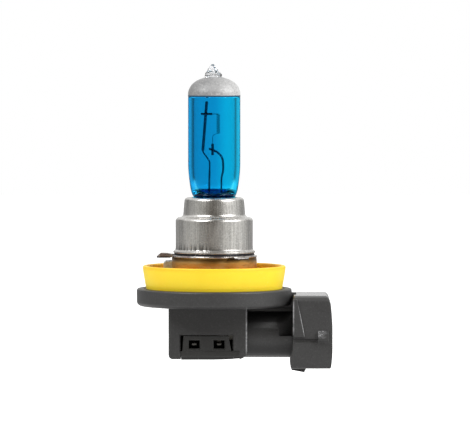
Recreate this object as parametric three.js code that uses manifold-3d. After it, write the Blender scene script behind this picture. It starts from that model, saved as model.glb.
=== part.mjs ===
// Halogen headlight bulb with a 19 mm prefocus bayonet cap and a right-angle two-pin connector.
// Millimetres, +Z along the bulb axis towards the glass tip, +X towards the connector.
// The origin is on the bulb axis, in the plane of the lugs' undersides.
import * as THREE from "three";
import { mergeVertices } from "three/addons/utils/BufferGeometryUtils.js";
import Module from "manifold-3d";

const wasm = await Module();
wasm.setup();

// ---------------------------------------------------------------- driving dimensions
const GLASS_R = 5.75; // outside radius of the quartz bulb
const GLASS_BORE_R = 4.6; // inside radius of the quartz bulb
const TIP_Z = 42.7; // top of the exhaust tip
const COAT_T = 0.12; // anti-glare coat
const PINCH_HALF_W = 4.4; // the pinch's half width, along X
const PINCH_HALF_T = 1.6; // the pinch's half thickness, along Y
const PINCH_BOTTOM_Z = 1.0;
const FOIL_Z = [5.0, 10.4]; // the molybdenum foils, bottom and top
const LEAD_LONG_X = -1.1; // where the inner leads leave the pinch
const LEAD_SHORT_X = 1.6;
const COIL_X = 1.0; // the coil's axis
const COIL_Z = [27.4, 31.65];
const COIL_R = 0.42; // radius of the coil's centreline
const COIL_TURNS = 8;
const COIL_WIRE_R = 0.12;
const LEG_Y = -0.56; // the plane in which the coil's legs and their sleeves lie

const CAN_R = 8.42; // the wide step of the can
const CAN_T = 0.5; // sheet thickness
const CAN_TOP_Z = 13.32;
const LUG_RING_R = 9.35;
const LUG_RING_BORE_R = 7.6;
const LUG_R = 12.7; // to the lugs' ends
const LUG_HALF_W = 1.75;
const LUG_T = 0.9;
const LUG_RING_BOTTOM_Z = 0.15; // the lugs stand this far below the ring
const LUG_ANGLES = [180, 60, -60];
const SLEEVE_R = 9.4; // outside of the 19 mm cap
const SLEEVE_T = 0.5;
const SLEEVE_BOTTOM_Z = -8.8;

const SEAL_TOP_Z = -1.75;
const SEAL_BOTTOM_Z = -6.9;
const SEAL_LIP_R = 15.73;
const SEAL_FOOT_R = 15.05;

const FLANGE_R = 17.1;
const FLANGE_Z = [-10.6, -6.8];
const BODY_X = [-10.0, 7.25];
const BODY_HALF_Y = 8.6;
const BODY_BOTTOM_Z = -21.9;
const NECK_R = 5.2;
const NECK_Z = -16.65; // centre height of the neck and the blades
const SHELL_X = [17.3, 25.96];
const SHELL_HALF_Y = 8.5;
const SHELL_Z = [-24.1, -8.0];
const SHELL_WALL = 1.3;
const SOCKET_FLOOR_X = 18.0;
const WINDOW_X = [-7.5, 4.2];
const WINDOW_Z = [-20.2, -16.7];
const PROBE_X = [-4.35, 1.09]; // centres of the two probe holes
const PROBE_Z = -18.68;

const BLADE_Y = 2.9; // each blade's distance from the connector's middle plane
const BLADE_T = 0.8;
const BLADE_H = 2.8;
const BLADE_TIP_X = 24.0;

const FINE = 40; // segments round the large turned pieces
const ROUND = 32; // segments round the glass and its coat

// ---------------------------------------------------------------- helpers
// A closed geometry as a solid, with its faces pointing out.
function solid(geometry) {
  const bare = geometry.clone();
  bare.deleteAttribute("normal");
  bare.deleteAttribute("uv");
  const merged = mergeVertices(bare, 1e-4);
  const all = merged.index.array;
  const kept = [];
  for (let i = 0; i < all.length; i += 3) {
    const [a, b, c] = [all[i], all[i + 1], all[i + 2]];
    if (a !== b && b !== c && c !== a) kept.push(a, b, c);
  }
  const make = (list) =>
    new wasm.Manifold(
      new wasm.Mesh({
        numProp: 3,
        vertProperties: new Float32Array(merged.attributes.position.array),
        triVerts: new Uint32Array(list),
      }),
    );
  const made = make(kept);
  if (made.volume() >= 0) return made;
  for (let i = 0; i < kept.length; i += 3)
    [kept[i + 1], kept[i + 2]] = [kept[i + 2], kept[i + 1]];
  return make(kept);
}

function geometryOf(body) {
  const mesh = body.getMesh();
  const g = new THREE.BufferGeometry();
  g.setAttribute(
    "position",
    new THREE.BufferAttribute(new Float32Array(mesh.vertProperties), 3),
  );
  g.setIndex(new THREE.BufferAttribute(new Uint32Array(mesh.triVerts), 1));
  g.computeVertexNormals();
  return g;
}

// A profile of [radius, z] pairs turned about the Z axis.
function turned(profile, segments = FINE) {
  const g = new THREE.LatheGeometry(
    profile.map(([r, z]) => new THREE.Vector2(r, z)),
    segments,
  );
  g.rotateX(Math.PI / 2);
  return solid(g);
}

// A ring's profile is closed on itself.
const ring = (profile, segments) => turned([...profile, profile[0]], segments);

function box(x, y, z) {
  const g = new THREE.BoxGeometry(x[1] - x[0], y[1] - y[0], z[1] - z[0]);
  g.translate((x[0] + x[1]) / 2, (y[0] + y[1]) / 2, (z[0] + z[1]) / 2);
  return solid(g);
}

function outline(points) {
  return new THREE.Shape(points.map(([a, b]) => new THREE.Vector2(a, b)));
}

// An outline in XY, raised along Z.
function raised(shape, z, curveSegments = 6) {
  const g = new THREE.ExtrudeGeometry(shape, {
    depth: z[1] - z[0],
    bevelEnabled: false,
    curveSegments,
  });
  g.translate(0, 0, z[0]);
  return solid(g);
}

// An outline in XZ, run along Y.
function alongY(shape, y, curveSegments = 6) {
  const g = new THREE.ExtrudeGeometry(shape, {
    depth: y[1] - y[0],
    bevelEnabled: false,
    curveSegments,
  });
  g.rotateX(Math.PI / 2); // (a, b, d) becomes (a, -d, b)
  g.translate(0, y[1], 0);
  return solid(g);
}

// An outline in YZ, run along X.
function alongX(shape, x, curveSegments = 6) {
  const g = new THREE.ExtrudeGeometry(shape, {
    depth: x[1] - x[0],
    bevelEnabled: false,
    curveSegments,
  });
  g.rotateY(Math.PI / 2); // (a, b, d) becomes (d, b, -a)
  g.rotateX(Math.PI / 2); // (d, b, -a) becomes (d, a, b)
  g.translate(x[0], 0, 0);
  return solid(g);
}

// A rectangle with round corners.
function roundRect(a, b, r) {
  const s = new THREE.Shape();
  s.moveTo(a[0] + r, b[0]);
  s.lineTo(a[1] - r, b[0]);
  s.absarc(a[1] - r, b[0] + r, r, -Math.PI / 2, 0, false);
  s.lineTo(a[1], b[1] - r);
  s.absarc(a[1] - r, b[1] - r, r, 0, Math.PI / 2, false);
  s.lineTo(a[0] + r, b[1]);
  s.absarc(a[0] + r, b[1] - r, r, Math.PI / 2, Math.PI, false);
  s.lineTo(a[0], b[0] + r);
  s.absarc(a[0] + r, b[0] + r, r, Math.PI, 1.5 * Math.PI, false);
  return s;
}

// A round wire along a list of points.
function wire(points, r, { sides = 8, steps = 12, straight = false } = {}) {
  const nodes = points.map((p) => new THREE.Vector3(...p));
  const path = straight
    ? new THREE.LineCurve3(nodes[0], nodes[nodes.length - 1])
    : new THREE.CatmullRomCurve3(nodes, false, "centripetal");
  const section = outline(
    Array.from({ length: sides }, (_, i) => {
      const a = (2 * Math.PI * i) / sides;
      return [r * Math.cos(a), r * Math.sin(a)];
    }),
  );
  return solid(
    new THREE.ExtrudeGeometry(section, {
      steps: straight ? 1 : steps,
      extrudePath: path,
      bevelEnabled: false,
    }),
  );
}

// An open profile moved along its own normals, to the side given by the sign.
function offset(profile, d) {
  return profile.map(([r, z], i) => {
    const a = profile[Math.max(i - 1, 0)];
    const b = profile[Math.min(i + 1, profile.length - 1)];
    const l = Math.hypot(b[0] - a[0], b[1] - a[1]);
    return [r + (d * (b[1] - a[1])) / l, z - (d * (b[0] - a[0])) / l];
  });
}

const material = (color, roughness, metalness, more = {}) =>
  new THREE.MeshStandardMaterial({ color, roughness, metalness, ...more });

function piece(name, body, mat) {
  const mesh = new THREE.Mesh(geometryOf(body), mat);
  mesh.name = name;
  return mesh;
}

// ---------------------------------------------------------------- materials
const blueQuartz = material(0x1491cd, 0.03, 0, {
  transparent: true,
  opacity: 0.55,
});
const clearQuartz = material(0xe8ecee, 0.03, 0, {
  transparent: true,
  opacity: 0.5,
});
const greyCoat = material(0xb9babc, 0.75, 0);
const tungsten = material(0x4b4d52, 0.45, 1);
const molybdenum = material(0x6f7176, 0.4, 1);
const leadSteel = material(0x8d8a84, 0.35, 1);
const springSteel = material(0xa8a49c, 0.3, 1);
const canSteel = material(0xb4afa7, 0.32, 1);
const sleeveSteel = material(0xb8ab97, 0.35, 1);
const silicone = material(0xfcdc32, 0.5, 0);
const blackNylon = material(0x46464a, 0.55, 0);
const coverNylon = material(0x3c3c3f, 0.6, 0);
const tinnedBrass = material(0xc9c4b4, 0.3, 1);

const bulb = new THREE.Group(); // glass and everything sealed in it
const cap = new THREE.Group(); // sheet-metal cap
const base = new THREE.Group(); // moulded base with its terminals and seal

// ---------------------------------------------------------------- glass
// The coat's outside, from its lower edge up to the hole for the exhaust tip.
const COAT_OUTSIDE = [
  [5.8, 35.6],
  [5.77, 36.3],
  [5.46, 37.3],
  [4.98, 38.1],
  [4.45, 38.55],
  [3.8, 39.02],
  [2.9, 39.42],
  [1.98, 39.72],
];
const GLASS_DOME = offset(COAT_OUTSIDE, -(COAT_T + 0.04));

const glassOutside = [
  [0, 11.0],
  [2.4, 11.3],
  [3.9, 12.2],
  [4.62, 13.4],
  [5.1, 14.7],
  [5.38, 16.2],
  [5.6, 18.1],
  [GLASS_R, 20.6],
  [GLASS_R, 35.52],
  [GLASS_DOME[0][0], 35.55],
];
const glassTop = [
  [1.2, GLASS_DOME.at(-1)[1] + 0.08],
  [0.55, GLASS_DOME.at(-1)[1] + 0.12],
];
const glassInside = [
  [0.55, 38.68],
  [2.0, 38.5],
  [3.3, 38.05],
  [4.2, 37.25],
  [GLASS_BORE_R, 35.8],
  [GLASS_BORE_R, 20.6],
  [4.33, 18.5],
  [3.85, 16.6],
  [3.0, 15.15],
  [1.7, 14.4],
  [0, 14.25],
];
const hole = (x, r, z) =>
  raised(
    outline(
      Array.from({ length: 12 }, (_, i) => {
        const a = (Math.PI * i) / 6;
        return [x + r * Math.cos(a), r * Math.sin(a)];
      }),
    ),
    z,
  );
const FOIL_X = [
  [-3.0, -0.8],
  [0.9, 3.1],
];
const OUTER_LEAD_X = [-1.9, 2.0];
let glass = turned(
  [...glassOutside, ...GLASS_DOME, ...glassTop, ...glassInside],
  ROUND,
)
  .add(
    raised(
      roundRect(
        [-PINCH_HALF_W, PINCH_HALF_W],
        [-PINCH_HALF_T, PINCH_HALF_T],
        0.5,
      ),
      [PINCH_BOTTOM_Z, 12.6],
      3,
    ),
  )
  .subtract(hole(LEAD_LONG_X, 0.36, [FOIL_Z[1] - 0.1, 15.2]))
  .subtract(hole(LEAD_SHORT_X, 0.4, [FOIL_Z[1] - 0.1, 15.2]));
for (const i of [0, 1])
  glass = glass
    .subtract(
      box(
        [FOIL_X[i][0] - 0.2, FOIL_X[i][1] + 0.2],
        [-0.3, 0.3],
        [FOIL_Z[0] - 0.2, FOIL_Z[1] + 0.3],
      ),
    )
    .subtract(hole(OUTER_LEAD_X[i], 0.5, [0, FOIL_Z[0] + 0.1]));
bulb.add(piece("glass_envelope", glass, blueQuartz));

// The stub left where the exhaust tube was melted off.
bulb.add(
  piece(
    "exhaust_tip",
    turned(
      [
        [0, 39.82],
        [1.72, 39.82],
        [1.66, 40.15],
        [1.38, 40.7],
        [1.2, 41.3],
        [0.95, 41.95],
        [0.5, 42.5],
        [0, TIP_Z],
      ],
      16,
    ),
    clearQuartz,
  ),
);

bulb.add(
  piece(
    "antiglare_cap",
    ring([...COAT_OUTSIDE, ...offset(COAT_OUTSIDE, -COAT_T).reverse()], ROUND),
    greyCoat,
  ),
);

// ---------------------------------------------------------------- filament and leads
const helix = [];
const COIL_STEPS = COIL_TURNS * 8;
for (let i = 0; i <= COIL_STEPS; i++) {
  const a = -Math.PI / 2 + (2 * Math.PI * i * COIL_TURNS) / COIL_STEPS;
  helix.push([
    COIL_X + COIL_R * Math.cos(a),
    COIL_R * Math.sin(a),
    COIL_Z[0] + ((COIL_Z[1] - COIL_Z[0]) * i) / COIL_STEPS,
  ]);
}
bulb.add(
  piece(
    "filament_coil",
    wire(
      [
        [-0.34, LEG_Y, 23.3],
        [-0.34, LEG_Y, 25.2],
        [-0.34, LEG_Y, 26.7],
        [-0.15, LEG_Y, 27.1],
        [0.45, -0.5, 27.3],
        ...helix,
        [0.5, -0.5, COIL_Z[1] + 0.02],
        [0.0, LEG_Y, COIL_Z[1]],
        [-0.9, LEG_Y, COIL_Z[1]],
      ],
      COIL_WIRE_R,
      { sides: 5, steps: 104 },
    ),
    tungsten,
  ),
);

bulb.add(
  piece(
    "long_lead_wire",
    wire(
      [
        [LEAD_LONG_X, 0, FOIL_Z[1] + 0.1],
        [LEAD_LONG_X, 0, 13],
        [LEAD_LONG_X, 0, 15.4],
        [-1.04, 0, 18],
        [-1.0, 0, 20.7],
        [-1.2, 0, 21.5],
        [-1.85, 0, 22.45],
        [-2.38, 0, 23.2],
        [-2.49, 0, 23.9],
      ],
      0.17,
      { sides: 7, steps: 20 },
    ).add(
      wire(
        [
          [-2.5, 0, 23.5],
          [-1.64, 0, 34.4],
        ],
        0.26,
        { sides: 8, straight: true },
      ),
    ),
    molybdenum,
  ),
  piece(
    "short_lead_wire",
    wire(
      [
        [LEAD_SHORT_X, 0, FOIL_Z[1] + 0.1],
        [LEAD_SHORT_X, 0, 13],
        [LEAD_SHORT_X, 0, 15.6],
        [1.62, 0, 17.6],
        [1.95, 0, 19.2],
        [1.95, 0, 20.6],
        [1.8, 0, 21.7],
        [1.45, 0, 22.5],
        [0.6, 0, 23.3],
        [-0.3, 0, 23.68],
        [-1.1, 0, 24.0],
      ],
      0.19,
      { sides: 7, steps: 24 },
    ),
    molybdenum,
  ),
);

// The sleeves clamped on the coil's legs.
function sleeve(length, r, bore) {
  return ring(
    [
      [bore, 0],
      [r, 0],
      [r, length],
      [bore, length],
    ],
    10,
  );
}
const upperSleeve = piece(
  "upper_leg_sleeve",
  sleeve(2.54, 0.24, 0.17),
  molybdenum,
);
upperSleeve.position.set(-2.9, LEG_Y, COIL_Z[1]);
upperSleeve.rotation.y = Math.PI / 2;
const lowerSleeve = piece(
  "lower_leg_sleeve",
  sleeve(2.5, 0.29, 0.18),
  molybdenum,
);
lowerSleeve.position.set(-0.34, LEG_Y, 22.6);
bulb.add(upperSleeve, lowerSleeve);

for (const [i, side] of ["left", "right"].entries())
  bulb.add(
    piece(
      `pinch_foil_${side}`,
      box(FOIL_X[i], [-0.1, 0.1], FOIL_Z),
      molybdenum,
    ),
  );

// The outer leads run from the foils, through the hub, and lie beside their terminals.
for (const [i, side] of ["left", "right"].entries()) {
  const x = OUTER_LEAD_X[i];
  const y = (i === 0 ? 1 : -1) * (BLADE_Y - BLADE_T / 2 - 0.35);
  bulb.add(
    piece(
      `outer_lead_${side}`,
      wire(
        [
          [x, 0, FOIL_Z[0] - 0.1],
          [x, 0, 0],
          [x, 0, -8],
          [x, 0, -11.8],
          [x, y * 0.2, -12.8],
          [x, y * 0.85, -14.1],
          [x, y, -15.2],
          [x, y, -17.2],
        ],
        0.28,
        { sides: 8, steps: 18 },
      ),
      leadSteel,
    ),
  );
}

// ---------------------------------------------------------------- cap
const CAN_OUTSIDE = [
  [5.05, 13.15],
  [5.6, CAN_TOP_Z],
  [6.05, 13.22],
  [6.35, 12.85],
  [6.58, 11.7],
  [6.8, 9.55],
  [6.98, 9.15],
  [7.9, 8.88],
  [8.27, 8.58],
  [CAN_R, 7.8],
  [CAN_R, 2.3],
  [8.5, 1.92],
  [8.75, 1.64],
  [9.2, 1.5],
];
// Both faces of the sheet, so that its inside follows the outside.
const canInside = offset(CAN_OUTSIDE, CAN_T);
canInside[canInside.length - 1] = [9.2, 1.5 - CAN_T];
canInside[0] = [5.05, 12.72];
cap.add(
  piece("metal_can", ring([...CAN_OUTSIDE, ...canInside.reverse()]), canSteel),
);

// The clip that grips the pinch, and the collar that it stands on.
cap.add(
  piece(
    "pinch_clip",
    raised(roundRect([-5.0, 5.0], [-2.2, 2.2], 0.7), [3.0, 10.0], 2)
      .add(
        ring(
          [
            [3.4, 3.0],
            [6.4, 3.0],
            [6.4, 3.4],
            [3.4, 3.4],
          ],
          24,
        ),
      )
      .subtract(raised(roundRect([-4.65, 4.65], [-1.85, 1.85], 0.45), [2, 11], 2)),
    springSteel,
  ),
  piece(
    "clip_collar",
    ring(
      [
        [5.5, 2.4],
        [7.6, 2.4],
        [7.6, 5.6],
        [7.2, 5.6],
        [7.2, 2.85],
        [5.5, 2.85],
      ],
      24,
    ),
    springSteel,
  ),
);

// The lug ring is one stamping. Each lug is set down a little from the ring, has round
// corners, and its end rolls over from the raised top.
let lugs = ring(
  [
    [LUG_RING_BORE_R, LUG_RING_BOTTOM_Z],
    [LUG_RING_R, LUG_RING_BOTTOM_Z],
    [LUG_RING_R, LUG_T],
    [LUG_RING_BORE_R, LUG_T],
  ],
  FINE,
);
for (const angle of LUG_ANGLES) {
  const plan = new THREE.ExtrudeGeometry(
    roundRect([8.2, LUG_R], [-LUG_HALF_W, LUG_HALF_W], 0.7),
    { depth: 3, bevelEnabled: false, curveSegments: 4 },
  );
  plan.translate(0, 0, -1);
  const side = new THREE.ExtrudeGeometry(
    outline([
      [8.2, LUG_RING_BOTTOM_Z],
      [9.55, LUG_RING_BOTTOM_Z],
      [9.55, 0],
      [LUG_R + 0.1, 0],
      [LUG_R + 0.1, 0.35],
      [12.2, 0.78],
      [11.6, 1.05],
      [9.45, 1.05],
      [9.45, LUG_T],
      [8.2, LUG_T],
    ]),
    { depth: 4, bevelEnabled: false },
  );
  side.rotateX(Math.PI / 2);
  side.translate(0, 2, 0);
  for (const g of [plan, side]) g.rotateZ((angle * Math.PI) / 180);
  lugs = lugs.add(solid(plan).intersect(solid(side)));
}
cap.add(piece("lug_ring", lugs, canSteel));

// The sleeve of the cap, with the stop that stands on its left side.
cap.add(
  piece(
    "cap_sleeve",
    ring([
      [SLEEVE_R - SLEEVE_T, SLEEVE_BOTTOM_Z],
      [SLEEVE_R, SLEEVE_BOTTOM_Z],
      [SLEEVE_R, -0.1],
      [SLEEVE_R - SLEEVE_T, -0.1],
    ]).add(
      alongY(
        outline([
          [-11.15, -5.3],
          [-9.1, -5.3],
          [-9.1, -0.62],
          [-10.6, -0.7],
          [-11.15, -1.15],
        ]),
        [-1.5, 1.5],
      ),
    ),
    sleeveSteel,
  ),
);

// ---------------------------------------------------------------- seal
base.add(
  piece(
    "seal_ring",
    ring([
      [9.9, SEAL_BOTTOM_Z],
      [SEAL_FOOT_R, SEAL_BOTTOM_Z],
      [15.14, -6.1],
      [15.44, -4.4],
      [SEAL_LIP_R, -2.5],
      [15.66, -1.9],
      [15.3, SEAL_TOP_Z],
      [14.84, -1.95],
      [14.64, -2.8],
      [14.3, -5.4],
      [14.1, -5.72],
      [9.9, -5.72],
    ]),
    silicone,
  ),
);

// ---------------------------------------------------------------- base housing
const flangeAndHub = turned([
  [0, FLANGE_Z[0]],
  [16.2, FLANGE_Z[0]],
  [16.75, -10.4],
  [FLANGE_R, -9.8],
  [FLANGE_R, -7.15],
  [16.98, -6.9],
  [16.7, FLANGE_Z[1]],
  [15.55, FLANGE_Z[1]],
  [15.55, FLANGE_Z[1] - 0.18], // the shallow seat of the seal
  [9.7, FLANGE_Z[1] - 0.18],
  [9.7, -9.0],
  [8.6, -9.0],
  [8.6, -4.4],
  [8.2, -4.0],
  [0, -4.0],
]);
const body = raised(
  roundRect(BODY_X, [-BODY_HALF_Y, BODY_HALF_Y], 0.9),
  [BODY_BOTTOM_Z, -10.0],
  4,
);
const neck = alongX(
  outline(
    Array.from({ length: 32 }, (_, i) => {
      const a = (Math.PI * i) / 16;
      return [NECK_R * Math.cos(a), NECK_Z + NECK_R * Math.sin(a)];
    }),
  ),
  [6.0, 17.6],
);
// The shell's side outline gives the leaning back edge and the slightly crowned rim.
const shellSide = outline([
  [SHELL_X[0], SHELL_Z[1]],
  [SHELL_X[0], -19.6],
  [16.75, -21.6],
  [16.75, SHELL_Z[0]],
  [25.6, SHELL_Z[0]],
  [25.76, -22.8],
  [25.9, -21.6],
  [SHELL_X[1], -20.4],
  [SHELL_X[1], -15.0],
  [25.86, -13.2],
  [25.74, -11.5],
  [25.55, -9.75],
  [25.25, -8.75],
  [24.75, SHELL_Z[1]],
]);
const shell = alongX(
  roundRect([-SHELL_HALF_Y, SHELL_HALF_Y], SHELL_Z, 1.6),
  [16.0, 27.0],
  4,
).intersect(alongY(shellSide, [-9, 9]));
const socket = alongX(
  roundRect(
    [-SHELL_HALF_Y + SHELL_WALL, SHELL_HALF_Y - SHELL_WALL],
    [SHELL_Z[0] + SHELL_WALL, SHELL_Z[1] - SHELL_WALL],
    0.9,
  ),
  [SOCKET_FLOOR_X, 28],
  3,
);
// The ramp that the plug's latch clips over.
const latchRamp = alongY(
  outline([
    [16.95, -24.0],
    [17.0, -24.65],
    [18.1, -24.85],
    [19.75, -25.2],
    [20.4, -24.0],
  ]),
  [-2.6, 2.6],
);
const flangeRib = box([16.4, 18.1], [-1.2, 1.2], [-10.4, -7.66]);
// Gussets on both sides of the shell's root, and the small square nubs near its rim.
const gusset = outline([
  [17.2, -17.15],
  [19.9, -17.15],
  [18.75, -10.1],
  [17.2, -9.9],
]);
let housing = flangeAndHub
  .add(body)
  .add(neck)
  .add(shell)
  .add(latchRamp)
  .add(flangeRib)
  // the web that joins the neck to the flange above it
  .add(box([6.0, 16.05], [-3.2, 3.2], [-13.5, -10.3]));
for (const y of [
  [-SHELL_HALF_Y - 0.35, -SHELL_HALF_Y + 0.5],
  [SHELL_HALF_Y - 0.5, SHELL_HALF_Y + 0.35],
])
  housing = housing.add(alongY(gusset, y));
for (const y of [
  [-SHELL_HALF_Y - 0.9, -SHELL_HALF_Y + 0.6],
  [SHELL_HALF_Y - 0.6, SHELL_HALF_Y + 0.9],
])
  housing = housing.add(box([22.75, 25.1], y, [-18.0, -15.6]));
// Below a sloped step, the shell's sides are set in a little. The neck is hollowed
// beside the shell, on both sides of its upper half.
const lowerSide = (s) =>
  outline([
    [s * 8.45, -17.45],
    [s * 8.2, -18.5],
    [s * 8.2, -25.0],
    [s * 9.6, -25.0],
    [s * 9.6, -17.45],
  ]);
for (const s of [-1, 1])
  housing = housing
    .subtract(alongX(lowerSide(s), [16.0, 22.7]))
    .subtract(
      raised(
        outline([
          [14.2, s * 5.6],
          [17.35, s * 5.6],
          [17.35, s * 3.4],
          [14.2, s * 4.95],
        ]),
        [-17.05, -10.9],
      ),
    );
housing = housing
  .subtract(socket)
  // the room in which the leads are welded to the terminals
  .subtract(box([-7.6, 5.8], [-7.0, 4.6], [-20.6, -12.4]))
  // its front window, and the opening for the cover below it
  .subtract(box(WINDOW_X, [-9.5, -6.8], WINDOW_Z))
  .subtract(box([-7.55, 5.85], [-9.5, 2.2], [-23, -20.1]))
  // the slot in the hub for the two outer leads
  .subtract(
    raised(roundRect([-2.7, 2.8], [-0.8, 0.8], 0.5), [-12.9, -3], 3),
  );
for (const y of [-BLADE_Y, BLADE_Y])
  housing = housing.subtract(
    box(
      [5.0, SOCKET_FLOOR_X + 0.5],
      [y - BLADE_T / 2 - 0.2, y + BLADE_T / 2 + 0.2],
      [NECK_Z - BLADE_H / 2 - 0.2, NECK_Z + BLADE_H / 2 + 0.2],
    ),
  );
base.add(piece("base_housing", housing, blackNylon));

// ---------------------------------------------------------------- terminal cover
let cover = box([-6.7, 3.3], [-8.5, -7.3], [-20.6, -16.85]).add(
  alongX(
    outline([
      [-8.75, -20.35],
      [1.95, -20.35],
      [1.95, -21.95],
      [-8.3, -22.05],
      [-8.75, -21.4],
    ]),
    [-7.3, 5.6],
  ),
);
for (const x of PROBE_X)
  cover = cover.subtract(
    box([x - 1.2, x + 1.2], [-9, -7], [PROBE_Z - 0.92, PROBE_Z + 0.92]),
  );
base.add(piece("terminal_cover", cover, coverNylon));

// ---------------------------------------------------------------- terminals
// Each is one strip: a blade with a tapered tip, a drop leg, and a foot that ends behind a probe hole.
for (const [i, side] of ["left", "right"].entries()) {
  const x = PROBE_X[i];
  const y = i === 0 ? BLADE_Y : -BLADE_Y;
  const top = BLADE_H / 2;
  const strip = alongY(
    outline([
      [x - 0.5, -2.35],
      [x + 0.5, -2.35],
      [x + 0.5, -top],
      [BLADE_TIP_X - 0.7, -top],
      [BLADE_TIP_X, -top + 0.6],
      [BLADE_TIP_X, top - 0.6],
      [BLADE_TIP_X - 0.7, top],
      [x - 0.5, top],
    ]),
    [-BLADE_T / 2, BLADE_T / 2],
  ).add(
    box([x - 0.5, x + 0.5], [-7.9 - y, BLADE_T / 2 - 0.05], [-2.35, -1.75]),
  );
  const terminal = piece(`terminal_${side}`, strip, tinnedBrass);
  terminal.position.set(0, y, NECK_Z);
  base.add(terminal);
}

const part = new THREE.Group();
part.name = "headlight_bulb";
part.add(bulb, cap, base);
export default part;
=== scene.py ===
"""Looks of the headlight bulb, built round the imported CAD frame. Lengths below are in millimetres until a mesh is made, then metres."""

import math

import bmesh
import bpy
from mathutils import Matrix, Vector


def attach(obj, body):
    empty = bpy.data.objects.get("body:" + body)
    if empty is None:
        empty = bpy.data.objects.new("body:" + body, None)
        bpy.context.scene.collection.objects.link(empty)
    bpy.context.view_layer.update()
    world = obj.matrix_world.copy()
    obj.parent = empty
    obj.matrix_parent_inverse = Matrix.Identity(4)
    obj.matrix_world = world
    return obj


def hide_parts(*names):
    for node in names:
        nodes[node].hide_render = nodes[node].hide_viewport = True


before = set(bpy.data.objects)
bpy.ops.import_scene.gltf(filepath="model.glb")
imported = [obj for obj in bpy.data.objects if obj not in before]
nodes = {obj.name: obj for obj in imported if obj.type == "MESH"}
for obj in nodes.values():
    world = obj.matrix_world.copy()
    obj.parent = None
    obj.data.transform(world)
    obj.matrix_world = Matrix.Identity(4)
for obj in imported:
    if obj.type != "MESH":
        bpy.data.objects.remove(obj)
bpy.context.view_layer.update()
scene = bpy.context.scene
MM = 0.001


# ------------------------------------------------------------------ mesh helpers
def link(o):
    scene.collection.objects.link(o)
    return o


def finish_mesh(o, sharp=32.0, weighted=False):
    """Faces outwards, smooth with sharp creases; weighted gives flat faces flat shading beside round edges."""
    me = o.data
    bm = bmesh.new()
    bm.from_mesh(me)
    bmesh.ops.remove_doubles(bm, verts=bm.verts, dist=1e-7)
    bmesh.ops.recalc_face_normals(bm, faces=bm.faces)
    bm.to_mesh(me)
    bm.free()
    me.shade_smooth()
    me.set_sharp_from_angle(angle=math.radians(sharp))
    if weighted:
        m = o.modifiers.new("wn", "WEIGHTED_NORMAL")
        m.keep_sharp = True
        m.weight = 80
        apply(o)
    return o


def apply(o):
    """Applies every modifier of o by taking the evaluated mesh."""
    bpy.context.view_layer.update()
    dg = bpy.context.evaluated_depsgraph_get()
    new = bpy.data.meshes.new_from_object(o.evaluated_get(dg), depsgraph=dg)
    o.modifiers.clear()
    old = o.data
    o.data = new
    new.name = o.name
    if old.users == 0:
        bpy.data.meshes.remove(old)
    return o


def raw(name, verts, faces):
    me = bpy.data.meshes.new(name)
    me.from_pydata([(x * MM, y * MM, z * MM) for x, y, z in verts], [], faces)
    me.update()
    return link(bpy.data.objects.new(name, me))


def rounded(points, steps=7, closed=False):
    """A polyline through corners (a, b, radius), each corner with a radius turned into an arc."""
    out = []
    n = len(points)
    for i, p in enumerate(points):
        a, b = p[0], p[1]
        r = p[2] if len(p) > 2 else 0
        if r <= 0 or (not closed and i in (0, n - 1)):
            out.append((a, b))
            continue
        prev, nxt = points[i - 1], points[(i + 1) % n]
        u = Vector((prev[0] - a, prev[1] - b))
        v = Vector((nxt[0] - a, nxt[1] - b))
        lu, lv = u.length, v.length
        u.normalize()
        v.normalize()
        angle = u.angle(v)
        if angle > math.pi - 1e-3:
            out.append((a, b))
            continue
        cut = min(r / math.tan(angle / 2), 0.49 * lu, 0.49 * lv)
        rr = cut * math.tan(angle / 2)
        c = Vector((a, b)) + (u + v).normalized() * (rr / math.sin(angle / 2))
        s = Vector((a, b)) + u * cut - c
        e = Vector((a, b)) + v * cut - c
        turn = math.atan2(s.x * e.y - s.y * e.x, s.dot(e))
        for k in range(steps + 1):
            t = turn * k / steps
            out.append(
                (
                    c.x + s.x * math.cos(t) - s.y * math.sin(t),
                    c.y + s.x * math.sin(t) + s.y * math.cos(t),
                )
            )
    return out


def spline(points, per=6):
    """A smooth curve through points of any dimension (centripetal feel from a plain Catmull-Rom)."""
    pts = [Vector(p) for p in points]
    out = []
    for i in range(len(pts) - 1):
        p0 = pts[max(i - 1, 0)]
        p1, p2 = pts[i], pts[i + 1]
        p3 = pts[min(i + 2, len(pts) - 1)]
        for k in range(per):
            t = k / per
            out.append(
                0.5
                * (
                    2 * p1
                    + (p2 - p0) * t
                    + (2 * p0 - 5 * p1 + 4 * p2 - p3) * t * t
                    + (3 * p1 - p0 - 3 * p2 + p3) * t ** 3
                )
            )
    out.append(pts[-1])
    return [tuple(p) for p in out]


def lathe(name, profile, n=160, ring=False, wobble=None, sharp=32.0):
    """A profile of (radius, z) turned about Z. ring closes it on itself; otherwise it runs from axis to axis."""
    verts, rows = [], []
    for i, (r, z) in enumerate(profile):
        if r < 1e-6:
            rows.append([len(verts)])
            verts.append((0.0, 0.0, z))
            continue
        row = []
        for k in range(n):
            t = 2 * math.pi * k / n
            rr, zz, cx, cy = (r, z, 0, 0) if wobble is None else wobble(r, z, t)
            row.append(len(verts))
            verts.append((cx + rr * math.cos(t), cy + rr * math.sin(t), zz))
        rows.append(row)
    faces = []
    pairs = list(zip(rows, rows[1:]))
    if ring:
        pairs.append((rows[-1], rows[0]))
    for a, b in pairs:
        for k in range(n):
            k2 = (k + 1) % n
            if len(a) == 1 and len(b) == 1:
                continue
            if len(a) == 1:
                faces.append((a[0], b[k], b[k2]))
            elif len(b) == 1:
                faces.append((a[k], b[0], a[k2]))
            else:
                faces.append((a[k], b[k], b[k2], a[k2]))
    return finish_mesh(raw(name, verts, faces), sharp)


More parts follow.
